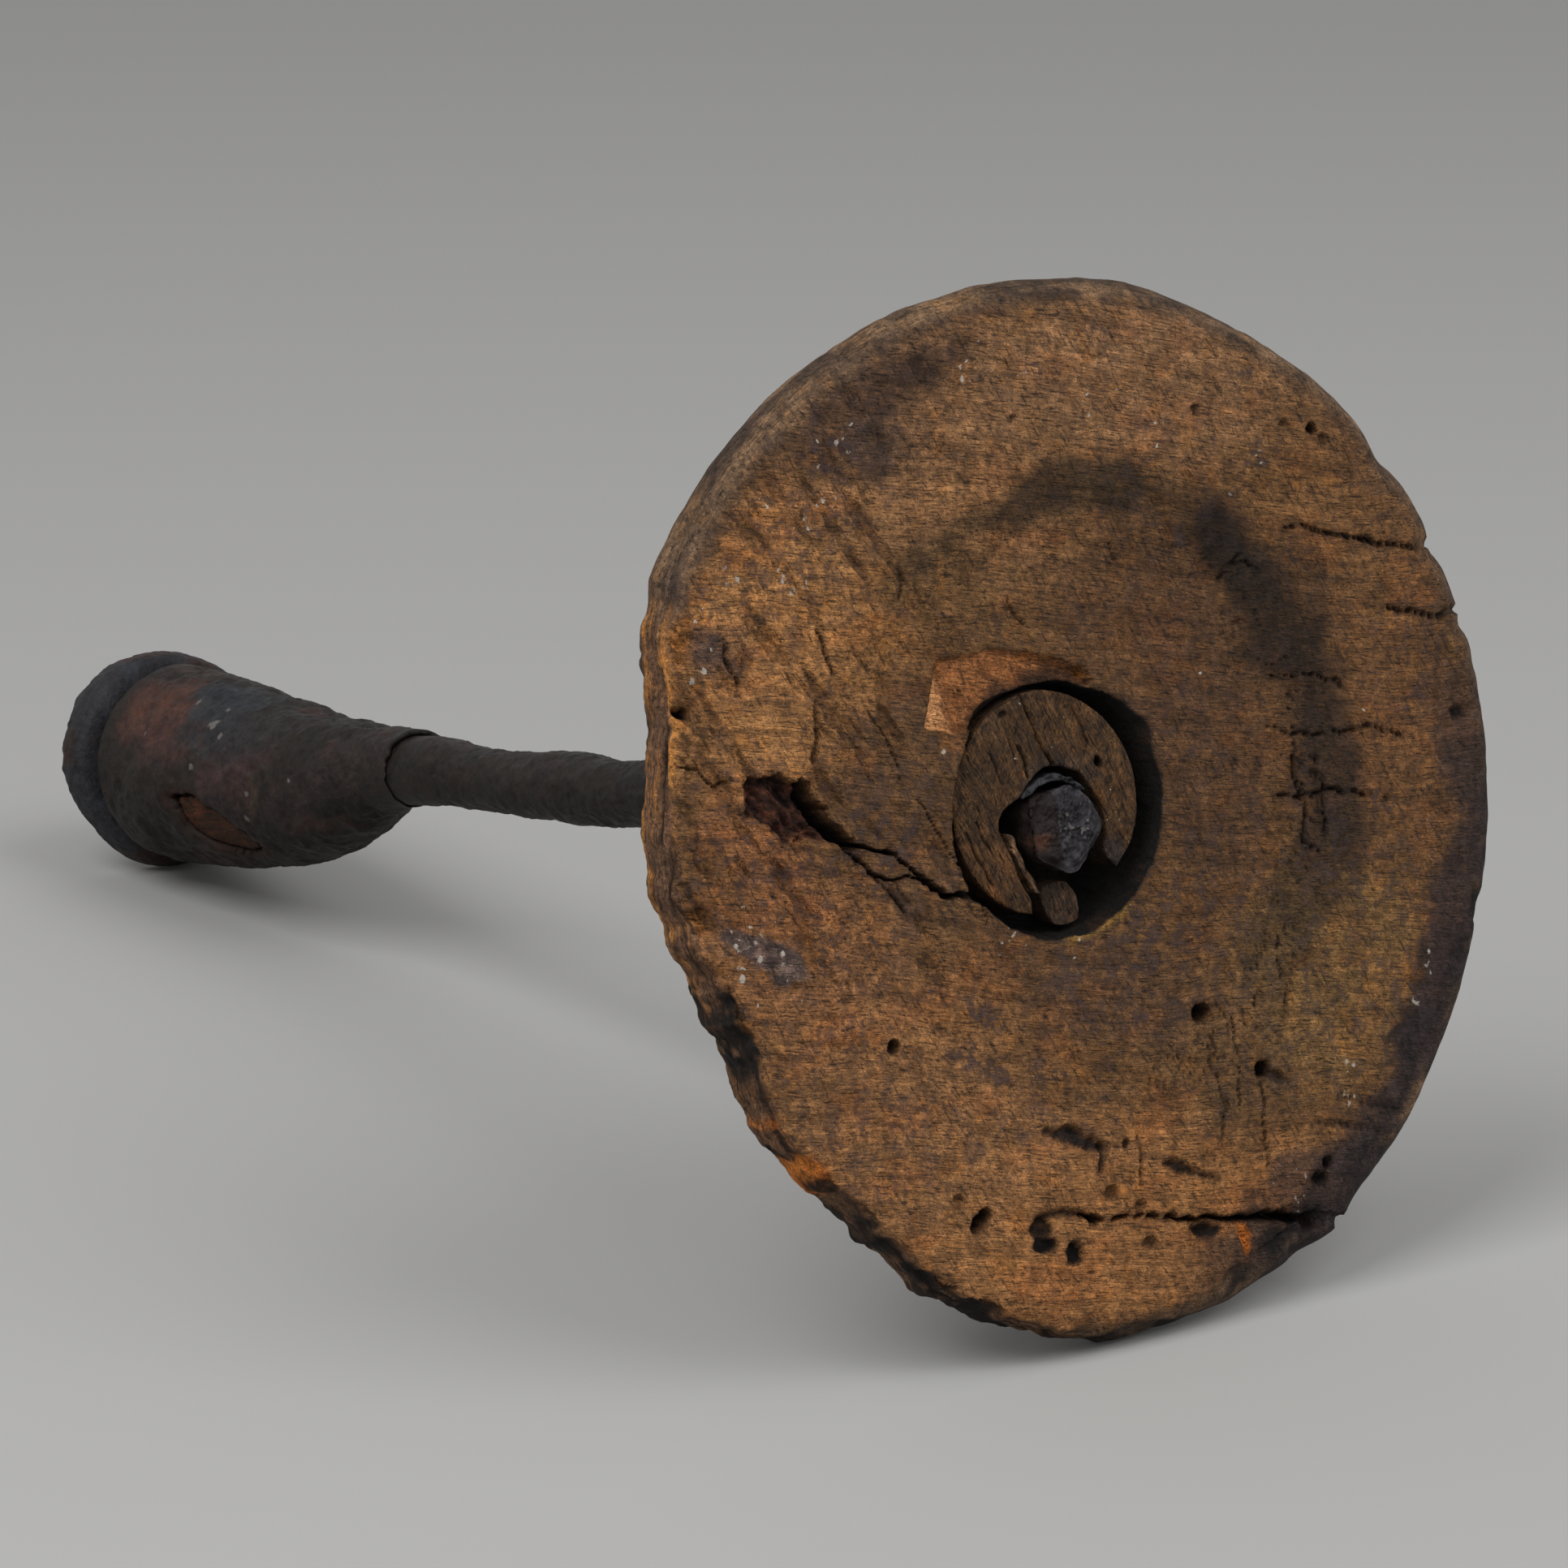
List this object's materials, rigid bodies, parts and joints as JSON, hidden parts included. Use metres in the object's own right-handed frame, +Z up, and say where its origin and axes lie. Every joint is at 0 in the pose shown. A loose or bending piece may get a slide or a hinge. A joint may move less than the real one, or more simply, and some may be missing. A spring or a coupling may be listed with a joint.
{
  "type": "drop spindle",
  "caption": "Worn drop spindle on its side: dished wooden disc whorl packed onto a lumpy iron rod by a split bush, with a flared foot at the rod's other end.",
  "frame": {"origin": "on the floor under the middle of the lying spindle", "axes": "+X along the floor from the foot to the whorl, +Z up; the rod's axis lies in the XZ plane and rises 11.5 degrees towards the whorl"},
  "size_m": [0.1952, 0.0952, 0.0981],
  "materials": {
    "whorl_wood": "old bare wood, worn, dirty, charred at the rim",
    "bush_wood": "dry grey-brown end wood",
    "core_wood": "freshly broken orange wood",
    "rod_iron": "corroded dark brown, waxed, satin",
    "foot_iron": "black-brown with rust patches, satin",
    "grey_iron": "blue-grey oxide, satin"
  },
  "bodies": {
    "shaft": {"shaft_rod": "rod_iron", "split_bush": "bush_wood", "bush_splinter": "bush_wood", "ferrule_strip": "grey_iron", "foot_shell": "foot_iron", "foot_lip": "foot_iron", "foot_core": "core_wood"},
    "whorl": {"whorl_disc": "whorl_wood", "bush_wedge": "bush_wood"}
  },
  "joints": [
    {"name": "whorl_slide", "type": "slide", "parent": "shaft", "child": "whorl", "axis": [0.98, 0, 0.1989], "range_m": [0, 0.04]}
  ]
}
